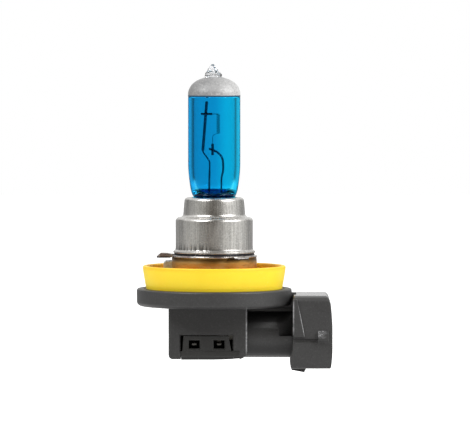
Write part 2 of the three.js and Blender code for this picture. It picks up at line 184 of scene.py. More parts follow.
def prism(name, outline, axis, lo, hi, bevel=0.0, seg=3, smooth=True):
    """An outline (a, b) carried along an axis from lo to hi: X takes (y, z), Y takes (x, z), Z takes (x, y). All its edges get a round of bevel mm."""
    put = {
        "X": lambda a, b, c: (c, a, b),
        "Y": lambda a, b, c: (a, c, b),
        "Z": lambda a, b, c: (a, b, c),
    }[axis]
    n = len(outline)
    verts = [put(a, b, lo) for a, b in outline] + [put(a, b, hi) for a, b in outline]
    faces = [tuple(range(n)), tuple(range(2 * n - 1, n - 1, -1))]
    faces += [(k, (k + 1) % n, n + (k + 1) % n, n + k) for k in range(n)]
    o = raw(name, verts, faces)
    bm = bmesh.new()
    bm.from_mesh(o.data)
    bmesh.ops.recalc_face_normals(bm, faces=bm.faces)
    if bevel > 0:
        edges = [e for e in bm.edges if e.calc_face_angle(0) > math.radians(25)]
        bmesh.ops.bevel(
            bm,
            geom=edges,
            offset=bevel * MM,
            segments=seg,
            profile=0.5,
            affect="EDGES",
            clamp_overlap=True,
        )
        bmesh.ops.recalc_face_normals(bm, faces=bm.faces)
    bm.to_mesh(o.data)
    bm.free()
    return o


def block(name, x, y, z, bevel=0.0, seg=3):
    return prism(
        name,
        [(x[0], y[0]), (x[1], y[0]), (x[1], y[1]), (x[0], y[1])],
        "Z",
        z[0],
        z[1],
        bevel,
        seg,
    )


def rect(a, b, r, steps=8):
    return rounded(
        [(a[0], b[0], r), (a[1], b[0], r), (a[1], b[1], r), (a[0], b[1], r)],
        steps,
        closed=True,
    )


def loft(name, rings, cap=(True, True)):
    """Rings of the same number of points, joined in turn; cap closes the first and last."""
    n = len(rings[0])
    verts = [p for ring in rings for p in ring]
    faces = []
    for i in range(len(rings) - 1):
        for k in range(n):
            k2 = (k + 1) % n
            faces.append((i * n + k, i * n + k2, (i + 1) * n + k2, (i + 1) * n + k))
    if cap[0]:
        faces.append(tuple(range(n - 1, -1, -1)))
    if cap[1]:
        faces.append(tuple((len(rings) - 1) * n + k for k in range(n)))
    o = raw(name, verts, faces)
    bm = bmesh.new()
    bm.from_mesh(o.data)
    bmesh.ops.recalc_face_normals(bm, faces=bm.faces)
    bm.to_mesh(o.data)
    bm.free()
    return o


def boolean(o, others, operation):
    for other in others:
        m = o.modifiers.new("b", "BOOLEAN")
        m.operation = operation
        m.solver = "EXACT"
        m.object = other
        apply(o)
        me = other.data
        bpy.data.objects.remove(other)
        bpy.data.meshes.remove(me)
    return o


def tube(name, points, radius, sides=16, per=8, smooth_path=True, taper=None):
    """A round wire with rounded ends along a smooth path. radius is a number or a function of the share of the length."""
    path = [Vector(p) for p in (spline(points, per) if smooth_path else points)]
    total = sum((b - a).length for a, b in zip(path, path[1:]))
    rad = radius if callable(radius) else (lambda s: radius)
    tangents = []
    for i in range(len(path)):
        a, b = path[max(i - 1, 0)], path[min(i + 1, len(path) - 1)]
        tangents.append((b - a).normalized())
    normal = tangents[0].orthogonal().normalized()
    rings, s = [], 0.0
    for i, p in enumerate(path):
        if i:
            s += (p - path[i - 1]).length
            axis = tangents[i - 1].cross(tangents[i])
            if axis.length > 1e-9:
                turn = Matrix.Rotation(
                    tangents[i - 1].angle(tangents[i]), 3, axis.normalized()
                )
                normal = (turn @ normal).normalized()
        binormal = tangents[i].cross(normal)
        r = rad(s / total)
        at = [(0, r)]
        if i == 0:
            at = [(-0.45 * r, 0.35 * r), (-0.3 * r, 0.75 * r), (0, r)]
        elif i == len(path) - 1:
            at = [(0, r), (0.3 * r, 0.75 * r), (0.45 * r, 0.35 * r)]
        for shift, rr in at:
            c = p + tangents[i] * shift
            rings.append(
                [
                    tuple(
                        c
                        + normal * rr * math.cos(2 * math.pi * k / sides)
                        + binormal * rr * math.sin(2 * math.pi * k / sides)
                    )
                    for k in range(sides)
                ]
            )
    return finish_mesh(loft(name, rings), 60)


def place(o, node, material, body="root", more=()):
    """Rides the piece, gives it its material and hides the CAD nodes it stands for."""
    o.data.materials.clear()
    o.data.materials.append(material)
    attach(o, body)
    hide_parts(node, *more)
    return o


# ------------------------------------------------------------------ material helpers
class Mat:
    def __init__(self, name):
        self.m = bpy.data.materials.new(name)
        self.m.use_nodes = True
        self.nt = self.m.node_tree
        self.p = self.nt.nodes["Principled BSDF"]
        self.tc = self.new("ShaderNodeTexCoord")

    def new(self, kind, **values):
        n = self.nt.nodes.new(kind)
        for k, v in values.items():
            setattr(n, k, v)
        return n

    def join(self, a, b):
        self.nt.links.new(a, b)

    def set(self, **values):
        for k, v in values.items():
            self.p.inputs[k.replace("_", " ")].default_value = v

    def coords(self, scale=(1, 1, 1)):
        mp = self.new("ShaderNodeMapping")
        mp.inputs["Scale"].default_value = scale
        self.join(self.tc.outputs["Object"], mp.inputs["Vector"])
        return mp.outputs["Vector"]

    def noise(self, scale, detail=3.0, rough=0.55, stretch=(1, 1, 1), vector=None):
        n = self.new("ShaderNodeTexNoise")
        n.inputs["Scale"].default_value = scale
        n.inputs["Detail"].default_value = detail
        n.inputs["Roughness"].default_value = rough
        self.join(vector or self.coords(stretch), n.inputs["Vector"])
        return n.outputs["Fac"]

    def ramp(self, fac, stops, mode="LINEAR"):
        r = self.new("ShaderNodeValToRGB")
        r.color_ramp.interpolation = mode
        while len(r.color_ramp.elements) < len(stops):
            r.color_ramp.elements.new(0.5)
        for e, (at, c) in zip(r.color_ramp.elements, stops):
            e.position = at
            e.color = (*c, 1) if len(c) == 3 else c
        self.join(fac, r.inputs["Fac"])
        return r.outputs["Color"]

    def map(self, fac, lo, hi, low=0.0, high=1.0):
        r = self.new("ShaderNodeMapRange")
        r.inputs["From Min"].default_value = low
        r.inputs["From Max"].default_value = high
        r.inputs["To Min"].default_value = lo
        r.inputs["To Max"].default_value = hi
        self.join(fac, r.inputs["Value"])
        return r.outputs["Result"]

    def mix(self, fac, a, b, kind="MIX"):
        n = self.new("ShaderNodeMix", data_type="RGBA", blend_type=kind)
        for key, v in ((6, a), (7, b)):
            if isinstance(v, tuple):
                n.inputs[key].default_value = (*v, 1) if len(v) == 3 else v
            else:
                self.join(v, n.inputs[key])
        if isinstance(fac, (int, float)):
            n.inputs[0].default_value = fac
        else:
            self.join(fac, n.inputs[0])
        return n.outputs[2]

    def math(self, op, a, b=None):
        n = self.new("ShaderNodeMath", operation=op)
        for i, v in enumerate((a, b)):
            if v is None:
                continue
            if isinstance(v, (int, float)):
                n.inputs[i].default_value = v
            else:
                self.join(v, n.inputs[i])
        return n.outputs[0]

    def xyz(self):
        s = self.new("ShaderNodeSeparateXYZ")
        self.join(self.tc.outputs["Object"], s.inputs[0])
        return s.outputs

    def around(self):
        """The angle about Z and the height, as two values."""
        x, y, z = self.xyz()
        return self.math("ARCTAN2", y, x), z

    def bump(self, height, strength, distance, after=None):
        b = self.new("ShaderNodeBump")
        b.inputs["Strength"].default_value = strength
        b.inputs["Distance"].default_value = distance
        self.join(height, b.inputs["Height"])
        if after is not None:
            self.join(after, b.inputs["Normal"])
        self.join(b.outputs["Normal"], self.p.inputs["Normal"])
        return b.outputs["Normal"]


def blue_quartz():
    """Quartz with a blue film outside: deeper where the film is looked through edge-on, darker towards -x and lighter
    towards +x as painted light, and dark and mottled on the cavity's floor as painted shade.
    """
    m = Mat("blue_quartz")
    x, y, z = m.xyz()
    # painted light: the film's tint is darker towards -x and lighter, more cyan towards +x, as the light falls from the
    # right
    across = m.map(x, 0, 1, -0.0057, 0.0057)
    tint = m.ramp(
        across,
        [
            (0.0, (0.05, 0.49, 0.755)),
            (0.3, (0.05, 0.50, 0.76)),
            (0.52, (0.05, 0.53, 0.79)),
            (0.72, (0.05, 0.64, 0.86)),
            (1.0, (0.05, 0.68, 0.88)),
        ],
    )
    film = m.noise(900, 2.0, 0.5, (1, 1, 0.35))
    tint = m.mix(m.map(film, 0.0, 0.10), tint, (0.03, 0.42, 0.70))
    # the film from the side: only on the outside
    r = m.math("SQRT", m.math("ADD", m.math("MULTIPLY", x, x), m.math("MULTIPLY", y, y)))
    lw = m.new("ShaderNodeLayerWeight")
    lw.inputs["Blend"].default_value = 0.5
    edge = m.map(lw.outputs["Facing"], 0.0, 1.0, 0.33, 0.46)
    edge = m.math("MULTIPLY", edge, m.map(r, 0.0, 1.0, 0.00470, 0.00490))
    # painted light: the edge-on tint, too, is darker towards -x and lighter towards +x
    side_on = m.ramp(across, [(0.0, (0.004, 0.27, 0.80)), (1.0, (0.006, 0.46, 0.90))])
    tint = m.mix(edge, tint, side_on)
    # no film under the stub of the exhaust tube
    crown = m.map(z, 0.0, 1.0, 0.0390, 0.0393)
    tint = m.mix(crown, tint, (0.80, 0.80, 0.81))
    # painted shade on the cavity's floor, standing in for the dark pinch and can seen through the glass; transmission
    # and gloss go down with it
    mottle = m.noise(1500, 4.0, 0.7)
    floor_edge = m.math("ADD", z, m.math("MULTIPLY", mottle, 0.0009))
    dark = m.math(
        "MULTIPLY",
        m.map(floor_edge, 1.0, 0.0, 0.01465, 0.01500),
        m.map(r, 1.0, 0.0, 0.0032, 0.0035),
    )
    dark = m.math("MULTIPLY", dark, m.map(z, 0.0, 1.0, 0.0127, 0.0129))
    deep = m.mix(
        m.map(mottle, 0.0, 1.0, 0.48, 0.66), (0.003, 0.026, 0.15), (0.012, 0.24, 0.85)
    )
    tint = m.mix(dark, tint, deep)
    m.join(tint, m.p.inputs["Base Color"])
    m.set(Roughness=0.0, IOR=1.46)
    m.join(m.map(dark, 1.0, 0.0), m.p.inputs["Transmission Weight"])
    m.join(m.map(dark, 0.5, 0.05), m.p.inputs["Specular IOR Level"])
    m.p.inputs["Specular Tint"].default_value = (0.25, 0.4, 0.5, 1)
    ripple = m.noise(260, 1.0, 0.4, (1, 1, 0.25))
    m.bump(ripple, 0.25, 0.00002)
    return m.m


def clear_quartz():
    m = Mat("clear_quartz")
    swirl = m.noise(700, 2.0, 0.5)
    m.join(
        m.mix(m.map(swirl, 0.0, 1.0, 0.3, 0.7), (0.93, 0.935, 0.94), (0.72, 0.73, 0.75)),
        m.p.inputs["Base Color"],
    )
    m.set(Roughness=0.09, IOR=1.46)
    m.p.inputs["Transmission Weight"].default_value = 1.0
    m.bump(m.noise(1500, 2.0, 0.6), 0.8, 0.00020)
    return m.m


def grey_coat():
    """A metallic grey heat-proof paint, speckled, darker towards -x and lighter towards +x as painted light, with a
    dark band of painted shade where it ends.
    """
    m = Mat("grey_coat")
    x, y, z = m.xyz()
    cloud = m.noise(380, 3.0, 0.6)
    fine = m.noise(2700, 3.0, 0.7)
    # painted light: the paint is darker towards -x and lighter towards +x, as the light falls from the right
    painted_light_tone = m.ramp(
        m.map(x, 0, 1, -0.0057, 0.0057),
        [
            (0.0, (0.235, 0.235, 0.238)),
            (0.35, (0.235, 0.235, 0.238)),
            (0.62, (0.32, 0.32, 0.321)),
            (0.85, (0.47, 0.47, 0.467)),
            (1.0, (0.66, 0.66, 0.655)),
        ],
    )
    base = m.mix(m.map(cloud, 0, 0.35, 0.3, 0.7), painted_light_tone, (0.42, 0.42, 0.417))
    light = m.map(fine, 0.0, 1.0, 0.54, 0.70)
    base = m.mix(m.math("MULTIPLY", light, 0.42), base, (0.80, 0.795, 0.78))
    dark = m.map(m.noise(3000, 2.0, 0.6), 0.0, 1.0, 0.52, 0.68)
    base = m.mix(m.math("MULTIPLY", dark, 0.5), base, (0.15, 0.15, 0.155))
    # painted shade: a thin dark blue line along the coat's lower edge
    edge = m.map(z, 1.0, 0.0, 0.03571, 0.03581)
    base = m.mix(edge, base, (0.004, 0.05, 0.10))
    m.join(base, m.p.inputs["Base Color"])
    m.join(m.map(fine, 0.44, 0.64), m.p.inputs["Roughness"])
    m.join(m.map(edge, 0.35, 0.0), m.p.inputs["Metallic"])
    m.set(Specular_IOR_Level=0.3)
    m.bump(fine, 0.5, 0.00004)
    return m.m


def dark_wire(name, colour, rough):
    m = Mat(name)
    draw = m.noise(2600, 3.0, 0.6, (1, 1, 0.15))
    m.join(
        m.mix(m.map(draw, 0.0, 0.6), colour, tuple(c * 0.55 for c in colour)),
        m.p.inputs["Base Color"],
    )
    m.join(m.map(draw, rough - 0.08, rough + 0.1), m.p.inputs["Roughness"])
    m.set(Metallic=1.0)
    m.bump(draw, 0.2, 0.00001)
    return m.m


def drawn_steel(name, colour, lines=1.0, rough=0.28, low=0.0, high=0.0, stain=0.0):
    """Sheet steel with fine lines along its height, as deep drawing leaves them, and a scuffed band between two heights."""
    m = Mat(name)
    angle, z = m.around()
    combine = m.new("ShaderNodeCombineXYZ")
    m.join(m.math("MULTIPLY", angle, 0.0085), combine.inputs[0])
    m.join(m.math("MULTIPLY", z, 0.04), combine.inputs[2])
    v = combine.outputs[0]
    fine = m.noise(7000, 3.0, 0.65, vector=v)
    broad = m.noise(2300, 2.0, 0.6, vector=v)
    patch = m.noise(260, 3.0, 0.6)
    height = m.math("ADD", m.math("MULTIPLY", fine, 0.7), broad)
    speck = m.noise(3400, 3.0, 0.7)
    base = m.mix(
        m.map(broad, 0.0, 0.75, 0.35, 0.65), colour, tuple(c * 0.55 for c in colour)
    )
    base = m.mix(
        m.map(speck, 0.0, 0.5, 0.48, 0.66), base, tuple(c * 0.42 for c in colour)
    )
    base = m.mix(
        m.map(speck, 0.45, 0.0, 0.32, 0.46), base, tuple(min(c * 1.5, 1) for c in colour)
    )
    base = m.mix(
        m.map(patch, 0.0, 0.25, 0.35, 0.75), base, tuple(c * 0.75 for c in colour)
    )
    if high > low:
        # upright scratches just above the foot, most of them on one side
        band = m.math(
            "MULTIPLY",
            m.map(z, 0, 1, high * MM, low * MM),
            m.map(m.noise(3500, 3.0, 0.6, vector=v), 0, 1, 0.44, 0.56),
        )
        band = m.math("MULTIPLY", band, m.map(z, 0, 1, 0.00172, 0.00185))
        band = m.math("MULTIPLY", band, m.map(angle, 1, 0.2, -1.75, -1.35))
        base = m.mix(m.math("MULTIPLY", band, stain), base, (0.06, 0.055, 0.05))
    m.join(base, m.p.inputs["Base Color"])
    m.join(
        m.math(
            "ADD",
            m.map(fine, rough - 0.05, rough + 0.08),
            m.map(patch, -0.03, 0.06, 0.3, 0.7),
        ),
        m.p.inputs["Roughness"],
    )
    m.set(Metallic=1.0)
    # the lines fade where the sheet turns over
    geo = m.new("ShaderNodeNewGeometry")
    parts = m.new("ShaderNodeSeparateXYZ")
    m.join(geo.outputs["Normal"], parts.inputs[0])
    upright = m.map(m.math("ABSOLUTE", parts.outputs[2]), 1.0, 0.12, 0.15, 0.55)
    height = m.math("MULTIPLY", height, upright)
    m.bump(height, 0.5 * lines, 0.00002)
    return m.m


def plain_steel(name, colour, rough, tint=None, shaded_lower_edge=False):
    m = Mat(name)
    grain = m.noise(2400, 4.0, 0.65)
    base = m.mix(
        m.map(grain, 0.0, 0.8, 0.35, 0.65), colour, tuple(c * 0.5 for c in colour)
    )
    if tint:
        heat = m.map(m.noise(420, 3.0, 0.6), 0.0, 0.75, 0.50, 0.62)
        base = m.mix(heat, base, tint)
    if shaded_lower_edge:
        # painted shade along the lower edge of what sticks out
        x, y, z = m.xyz()
        r = m.math(
            "SQRT", m.math("ADD", m.math("MULTIPLY", x, x), m.math("MULTIPLY", y, y))
        )
        low = m.math(
            "MULTIPLY", m.map(z, 1.0, 0.0, 0.00022, 0.00040), m.map(r, 0.0, 0.9, 0.0097, 0.0099)
        )
        base = m.mix(low, base, (0.015, 0.013, 0.014))
    m.join(base, m.p.inputs["Base Color"])
    m.join(m.map(grain, rough - 0.06, rough + 0.14), m.p.inputs["Roughness"])
    m.set(Metallic=1.0)
    m.bump(m.noise(5200, 3.0, 0.6), 0.25, 0.00001)
    return m.m


def amber_reflection_steel(name, colour, other, rough):
    """Steel coloured amber in soft level streaks: a painted reflection of the yellow seal round it."""
    m = Mat(name)
    x, y, z = m.xyz()
    cloud = m.noise(170, 4.0, 0.6, (1, 1, 3.2))
    base = m.mix(m.map(cloud, 0.0, 1.0, 0.36, 0.64), colour, other)
    streak = m.noise(420, 3.0, 0.6, (1, 1, 4.5))
    base = m.mix(
        m.map(streak, 0.0, 0.65, 0.54, 0.68), base, tuple(c * 0.55 for c in colour)
    )
    # painted shadow: darker towards the top, just under the lug plate
    base = m.mix(m.map(z, 0.0, 0.95, -0.0009, -0.0003), base, tuple(c * 0.22 for c in colour))
    m.join(base, m.p.inputs["Base Color"])
    m.join(m.map(cloud, rough - 0.05, rough + 0.12, 0.3, 0.7), m.p.inputs["Roughness"])
    m.set(Metallic=1.0)
    m.bump(m.noise(3600, 3.0, 0.6), 0.3, 0.00001)
    return m.m


def silicone():
    m = Mat("yellow_silicone")
    x, y, z = m.xyz()
    cloud = m.noise(130, 3.0, 0.55)
    base = m.mix(
        m.map(cloud, 0.0, 1.0, 0.3, 0.7), (0.975, 0.70, 0.025), (0.985, 0.745, 0.031)
    )
    dust = m.map(m.noise(2600, 2.0, 0.7), 0.0, 1.0, 0.62, 0.78)
    base = m.mix(m.math("MULTIPLY", dust, 0.22), base, (0.97, 0.88, 0.30))
    # painted shade: the inner wall is a deeper, patchy orange, standing in for the shade inside the ring
    r = m.math("SQRT", m.math("ADD", m.math("MULTIPLY", x, x), m.math("MULTIPLY", y, y)))
    inner = m.map(r, 1.0, 0.0, 0.01462, 0.01500)
    inner = m.math("MULTIPLY", inner, m.map(z, 0.3, 1.0, -0.0056, -0.0050))
    patch = m.map(m.noise(900, 4.0, 0.7), 0.0, 1.0, 0.52, 0.62)
    deep = m.mix(m.math("MULTIPLY", patch, 0.55), (0.96, 0.50, 0.014), (0.50, 0.22, 0.02))
    base = m.mix(inner, base, deep)
    # the thin lip lets less light back
    lip = m.map(z, 0.0, 0.8, -0.0027, -0.0020)
    base = m.mix(lip, base, (0.95, 0.52, 0.02))
    m.join(base, m.p.inputs["Base Color"])
    m.join(m.map(m.noise(1900, 3.0, 0.6), 0.40, 0.54), m.p.inputs["Roughness"])
    m.set(Specular_IOR_Level=0.35)
    m.p.inputs["Subsurface Weight"].default_value = 0.15
    m.p.inputs["Subsurface Radius"].default_value = (1.0, 0.6, 0.15)
    m.p.inputs["Subsurface Scale"].default_value = 0.0008
    m.bump(m.noise(3600, 3.0, 0.6), 0.18, 0.00002)
    return m.m


def nylon(name, colour, rough=0.36, latch=False):
    """Glass-filled nylon: a fine moulded grain, faint flow marks and slightly paler spots as from rubbing; with latch,
    also painted highlights on some edges, a glossy top on the shell and a latch ramp painted black as shade.
    """
    m = Mat(name)
    x, y, z = m.xyz()
    grain = m.noise(4200, 4.0, 0.7)
    flow = m.noise(150, 4.0, 0.6, (1, 1, 2.2))
    base = m.mix(flow, tuple(c * 0.80 for c in colour), tuple(c * 1.22 for c in colour))
    spots = m.map(m.noise(2600, 2.0, 0.7), 0.0, 1.0, 0.54, 0.74)
    base = m.mix(
        m.math("MULTIPLY", spots, 0.55), base, tuple(min(c * 2.2, 1) for c in colour)
    )
    pits = m.map(m.noise(2900, 2.0, 0.7, (1, 1, 1.2)), 0.0, 1.0, 0.54, 0.72)
    base = m.mix(m.math("MULTIPLY", pits, 0.6), base, tuple(c * 0.35 for c in colour))
    if latch:
        # painted highlights: pale strips along the edges of the body, the gussets, the nubs and the shell, where the
        # light catches them
        side = m.math("ABSOLUTE", y)

        def window(v, lo, hi, soft=0.0001):
            return m.math(
                "MULTIPLY",
                m.map(v, 0.0, 1.0, lo - soft, lo + soft),
                m.map(v, 1.0, 0.0, hi - soft, hi + soft),
            )

        def every(*fs):
            total = fs[0]
            for f in fs[1:]:
                total = m.math("MULTIPLY", total, f)
            return total

        lean = m.math("ADD", x, m.math("MULTIPLY", z, 0.1988))
        painted_edge_highlights = [
            every(
                window(x, 0.00698, 0.00730),
                m.map(side, 0.0, 1.0, 0.0079, 0.0081),
                window(z, -0.0203, -0.0108, 0.0008),
            ),
            every(
                window(lean, 0.01638, 0.01664, 0.00006),
                m.map(side, 0.0, 1.0, 0.0086, 0.0088),
                window(z, -0.0172, -0.0110, 0.0012),
            ),
            every(
                window(x, 0.01720, 0.01752, 0.00006),
                m.map(side, 0.0, 1.0, 0.0086, 0.0088),
                window(z, -0.0160, -0.0092, 0.0008),
            ),
            every(
                m.map(side, 0.0, 1.0, 0.0085, 0.0087),
                window(x, 0.0224, 0.0243, 0.0004),
                window(z, -0.0171, -0.0155, 0.0004),
                m.map(m.noise(3400, 3.0, 0.7), 0.0, 1.0, 0.42, 0.62),
            ),
        ]
        painted_highlight = painted_edge_highlights[0]
        for f in painted_edge_highlights[1:]:
            painted_highlight = m.math("MAXIMUM", painted_highlight, f)
        painted_highlight = m.math("MULTIPLY", painted_highlight, m.map(m.noise(1300, 3.0, 0.6), 0.25, 0.9, 0.35, 0.65))
        base = m.mix(painted_highlight, base, (0.38, 0.38, 0.39))
        # the shell's top came off a polished face of the mould
        top = every(
            m.map(x, 0.0, 1.0, 0.0170, 0.0173), m.map(z, 0.0, 1.0, -0.0088, -0.0083)
        )
        m.join(top, m.p.inputs["Coat Weight"])
        m.p.inputs["Coat Roughness"].default_value = 0.14
    if latch:
        # painted shade: the latch ramp is painted black, standing in for the shadow it sits in under the shell
        ramp_shade = m.math(
            "MULTIPLY",
            m.map(z, 1.0, 0.0, -0.02420, -0.02408),
            m.map(x, 1.0, 0.0, 0.0206, 0.0208),
        )
        base = m.mix(ramp_shade, base, (0.003, 0.003, 0.003))
    m.join(base, m.p.inputs["Base Color"])
    m.join(
        m.math(
            "ADD",
            m.map(grain, rough - 0.05, rough + 0.09),
            m.map(flow, -0.04, 0.05, 0.3, 0.7),
        ),
        m.p.inputs["Roughness"],
    )
    m.set(Specular_IOR_Level=0.56)
    m.bump(grain, 0.4, 0.00003)
    return m.m


# ------------------------------------------------------------------ materials
M_BLUE = blue_quartz()
M_CLEAR = clear_quartz()
M_COAT = grey_coat()
M_TUNGSTEN = dark_wire("tungsten", (0.07, 0.08, 0.11), 0.45)
M_MOLY = dark_wire("molybdenum", (0.12, 0.13, 0.19), 0.4)
M_LEAD = dark_wire("lead_steel", (0.42, 0.41, 0.40), 0.35)
M_SPRING = plain_steel("spring_steel", (0.50, 0.49, 0.47), 0.3)
M_CAN = drawn_steel(
    "can_steel", (0.69, 0.675, 0.645), 1.0, 0.26, low=1.8, high=3.5, stain=1.0
)
# a dark steel used as painted shade, inside the can and in the lug plate's crevice
M_SHADE_STEEL = plain_steel("painted_shade_steel", (0.035, 0.035, 0.04), 0.5)
M_LUG = plain_steel("lug_steel", (0.66, 0.63, 0.60), 0.22, (0.30, 0.23, 0.23), True)
# the sleeve's amber is a painted reflection of the yellow seal
M_SLEEVE = amber_reflection_steel("sleeve_steel", (0.58, 0.31, 0.085), (0.62, 0.44, 0.20), 0.34)
M_STOP = plain_steel("stop_steel", (0.58, 0.66, 0.68), 0.38)
M_SEAL = silicone()
M_BASE = nylon("base_plastic", (0.0290, 0.0286, 0.0288), 0.45, latch=True)
M_COVER = nylon("cover_plastic", (0.016, 0.0158, 0.015), 0.42)
M_TERMINAL = plain_steel("terminal_metal", (0.42, 0.41, 0.38), 0.36)
M_TIP = plain_steel("terminal_tip", (0.15, 0.145, 0.135), 0.5)

# ------------------------------------------------------------------ glass
GLASS_R, BORE_R = 5.75, 4.6
coat_out = [
    (5.78, 35.46),
    (5.78, 35.68),
    (5.77, 36.02),
    (5.72, 36.55),
    (5.55, 37.08),
    (5.30, 37.58),
    (4.98, 38.06),
    (4.55, 38.47),
    (3.98, 38.90),
    (3.35, 39.22),
    (2.65, 39.48),
    (2.10, 39.665),
    (1.72, 39.76),
]


def offset(profile, d):
    out = []
    for i, (r, z) in enumerate(profile):
        a = profile[max(i - 1, 0)]
        b = profile[min(i + 1, len(profile) - 1)]
        l = math.hypot(b[0] - a[0], b[1] - a[1])
        out.append((r - d * (b[1] - a[1]) / l, z + d * (b[0] - a[0]) / l))
    return out


dome = offset(coat_out, 0.13)
outside = spline(
    [
        (0.0, 11.0),
        (2.4, 11.3),
        (3.9, 12.2),
        (4.62, 13.4),
        (4.90, 14.1),
        (5.10, 14.7),
        (5.27, 15.6),
        (5.46, 16.9),
        (5.60, 18.2),
        (5.70, 19.4),
        (5.748, 20.6),
        (GLASS_R - 0.006, 21.7),
        (GLASS_R, 23.0),
        (GLASS_R, 25.0),
        (GLASS_R, 28.5),
        (GLASS_R, 32.0),
        (GLASS_R, 33.8),
        (GLASS_R, 34.7),
        (GLASS_R, 35.12),
        (GLASS_R - 0.01, 35.30),
        (dome[0][0], 35.42),
    ],
    5,
)
outside += spline(dome, 4) + [(1.2, 39.62), (0.0, 39.66)]
inside = spline(
    [
        (0.0, 38.68),
        (1.2, 38.63),
        (2.3, 38.42),
        (3.3, 38.02),
        (4.05, 37.4),
        (4.45, 36.6),
        (BORE_R, 35.6),
        (BORE_R, 34.8),
        (BORE_R, 33.5),
        (BORE_R, 31.0),
        (BORE_R, 28.0),
        (BORE_R, 25.5),
        (BORE_R, 23.6),
        (BORE_R, 22.3),
        (BORE_R - 0.002, 21.2),
        (BORE_R - 0.012, 20.3),
        (4.555, 19.4),
        (4.50, 18.5),
        (4.41, 17.6),
        (4.28, 16.8),
        (4.09, 16.0),
        (3.86, 15.3),
        (3.56, 14.75),
        (3.18, 14.32),
        (2.70, 14.0),
        (2.1, 13.80),
        (1.4, 13.70),
        (0.6, 13.66),
        (0.0, 13.65),
    ],
    5,
)
bulb = lathe("bulb_outside", outside, 128, sharp=60)
pinch = prism(
    "pinch", rect((-4.4, 4.4), (-1.6, 1.6), 0.5, 6), "Z", 1.0, 12.8, 0.25, 3
)
boolean(bulb, [pinch], "UNION")
finish_mesh(bulb, 60)
cavity = lathe("bulb_cavity", inside, 128, sharp=60)
cavity.data.flip_normals()
bm = bmesh.new()
bm.from_mesh(bulb.data)
bm.from_mesh(cavity.data)
bm.to_mesh(bulb.data)
bm.free()
bulb.data.shade_smooth()
bulb.data.set_sharp_from_angle(angle=math.radians(60))
for gone in (cavity,):
    me = gone.data
    bpy.data.objects.remove(gone)
    bpy.data.meshes.remove(me)
bulb.name = "glass_bulb"
place(bulb, "glass_envelope", M_BLUE)


TIP_LEAN = [(39.7, -0.15), (40.0, -0.24), (40.6, -0.14), (41.2, -0.28), (41.8, -0.38), (42.7, -0.33)]


def tip_wobble(r, z, t):
    """The stub is melted off by hand: leaning, lumpy and with a shoulder on one side."""
    cx = TIP_LEAN[-1][1]
    for (z0, x0), (z1, x1) in zip(TIP_LEAN, TIP_LEAN[1:]):
        if z <= z1:
            cx = x0 + (x1 - x0) * max(0.0, (z - z0) / (z1 - z0))
            break
    up = max(0.0, (z - 39.95) / 2.7)
    fade = min(1.0, up * 4)
    lump = 1 + fade * (
        0.09 * math.sin(2 * t + 5 * up)
        + 0.08 * math.sin(3 * t + 1.3 - 7 * up)
        + 0.05 * math.sin(5 * t + 0.4 + 16 * up)
    )
    return r * lump, z, cx, 0.06 * up


tip = lathe(
    "quartz_tip",
    spline(
        [
            (0.0, 39.72),
            (1.2, 39.72),
            (1.68, 39.76),
            (1.88, 39.94),
            (1.84, 40.18),
            (1.68, 40.50),
            (1.46, 40.74),
            (1.22, 40.98),
            (1.10, 41.25),
            (1.00, 41.55),
            (0.86, 41.82),
            (0.66, 42.12),
            (0.42, 42.42),
            (0.20, 42.58),
            (0.0, 42.62),
        ],
        4,
    ),
    64,
    wobble=tip_wobble,
    sharp=60,
)
place(tip, "exhaust_tip", M_CLEAR)

coat_in = offset(coat_out, 0.09)
coat = lathe(
    "grey_cap",
    spline(coat_out, 5) + list(reversed(spline(coat_in, 5))),
    144,
    ring=True,
    sharp=50,
)
place(coat, "antiglare_cap", M_COAT)

# ------------------------------------------------------------------ filament and leads
LEG_Y = -0.56
COIL_X, COIL_LOW, COIL_HIGH, COIL_R = 0.88, 27.4, 31.65, 0.36
TURNS = 11
coil = [
    (-0.34, LEG_Y, 23.2),
    (-0.34, LEG_Y, 25.2),
    (-0.34, LEG_Y, 26.7),
    (-0.10, LEG_Y, 27.1),
    (0.45, -0.52, 27.3),
]
steps = TURNS * 14
for i in range(steps + 1):
    a = -math.pi / 2 + 2 * math.pi * TURNS * i / steps
    coil.append(
        (
            COIL_X + COIL_R * math.cos(a),
            COIL_R * math.sin(a),
            COIL_LOW + (COIL_HIGH - COIL_LOW) * i / steps,
        )
    )
coil += [(0.45, -0.52, 31.66), (0.0, LEG_Y, 31.65), (-0.9, LEG_Y, 31.65)]
filament = tube("filament", coil, 0.06, sides=8, per=1)
place(filament, "filament_coil", M_TUNGSTEN)

long_lead = tube(
    "long_lead",
    [
        (-1.1, 0, 10.5),
        (-1.1, 0, 13),
        (-1.1, 0, 15.4),
        (-1.05, 0, 18),
        (-1.0, 0, 20.6),
        (-1.14, 0, 21.35),
        (-1.85, 0, 22.45),
        (-2.36, 0, 23.15),
        (-2.5, 0, 23.75),
        (-2.45, 0, 24.4),
        (-2.2, 0, 27.4),
        (-1.9, 0, 31.2),
        (-1.65, 0, 34.3),
    ],
    lambda s: (0.22 if s < 0.36 else 0.17) + 0.15 * min(max((s - 0.545) / 0.02, 0), 1),
    sides=16,
    per=8,
)
place(long_lead, "long_lead_wire", M_MOLY)
short_lead = tube(
    "short_lead",
    [
        (1.6, 0, 10.5),
        (1.6, 0, 13),
        (1.6, 0, 15.6),
        (1.62, 0, 17.6),
        (1.95, 0, 19.2),
        (1.96, 0, 20.6),
        (1.82, 0, 21.7),
        (1.45, 0, 22.5),
        (0.6, 0, 23.28),
        (-0.3, 0, 23.68),
        (-1.1, 0, 24.0),
    ],
    lambda s: 0.19 + 0.05 * min(max((s - 0.35) / 0.3, 0), 1),
    sides=16,
    per=8,
)
place(short_lead, "short_lead_wire", M_MOLY)


